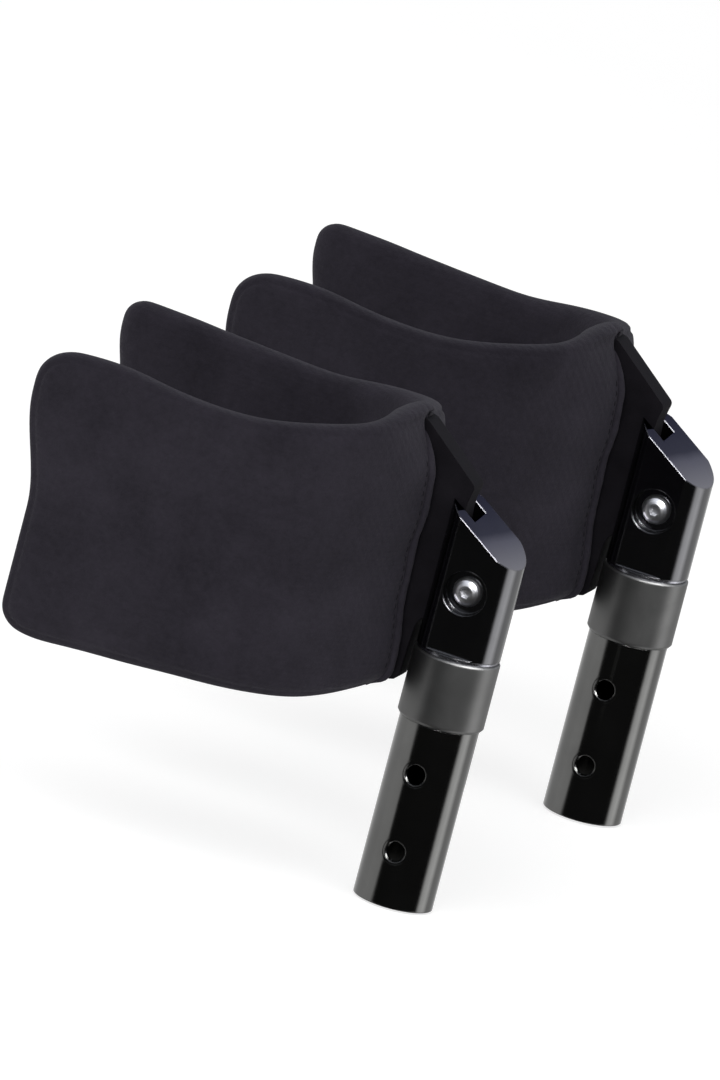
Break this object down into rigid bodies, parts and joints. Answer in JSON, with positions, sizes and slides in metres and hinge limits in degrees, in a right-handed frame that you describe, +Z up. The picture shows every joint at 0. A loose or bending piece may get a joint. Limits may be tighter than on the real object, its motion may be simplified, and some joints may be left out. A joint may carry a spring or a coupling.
{
  "type": "forearm crutch cuff pair",
  "caption": "Padded open arm cuffs on tilting brackets, each on a black pivot head, collar and telescoping tube with adjustment holes: upper ends of a pair of forearm crutches.",
  "frame": {"origin": "axis of the first tube at its open lower end", "axes": "+Z up along the tubes, +X towards the back of the cuffs, the pivot screws face -Y, the second unit stands at +Y"},
  "size_m": [0.1613, 0.279, 0.1514],
  "materials": {
    "black_tube": "gloss black anodised",
    "black_head": "gloss black",
    "black_plastic": "satin black moulding",
    "steel": "nickel plated",
    "nylon": "natural nylon",
    "foam": "closed cell foam",
    "cover_cloth": "charcoal knit over foam rubber, fine nap",
    "binding": "sewn edge tape"
  },
  "bodies": {
    "posts": {"tube_1": "black_tube", "collar_1": "black_plastic", "trim_ring_1": "steel", "pivot_head_1": "black_head", "head_pin_1": "steel", "pivot_screw_1": "steel", "pivot_sleeve_nut_1": "steel", "tube_2": "black_tube", "collar_2": "black_plastic", "trim_ring_2": "steel", "pivot_head_2": "black_head", "head_pin_2": "steel", "pivot_screw_2": "steel", "pivot_sleeve_nut_2": "steel"},
    "cuff_a": {"pivot_bushing_1": "nylon", "thrust_washers_1": "nylon", "cuff_bracket_1": "black_plastic", "bracket_rivets_1": "steel", "cuff_shell_1": "black_plastic", "inner_pad_1": "foam", "outer_pad_1": "foam", "cuff_cover_1": "cover_cloth", "cover_binding_1": "binding"},
    "cuff_b": {"pivot_bushing_2": "nylon", "thrust_washers_2": "nylon", "cuff_bracket_2": "black_plastic", "bracket_rivets_2": "steel", "cuff_shell_2": "black_plastic", "inner_pad_2": "foam", "outer_pad_2": "foam", "cuff_cover_2": "cover_cloth", "cover_binding_2": "binding"}
  },
  "joints": [
    {"name": "cuff_tilt_1", "type": "hinge", "parent": "posts", "child": "cuff_a", "pos_m": [0, 0, 0.103], "axis": [0, 1, 0], "range_deg": [-2, 8]},
    {"name": "cuff_tilt_2", "type": "hinge", "parent": "posts", "child": "cuff_b", "pos_m": [0.0065, 0.178, 0.103], "axis": [0, 1, 0], "range_deg": [-2, 8]}
  ]
}
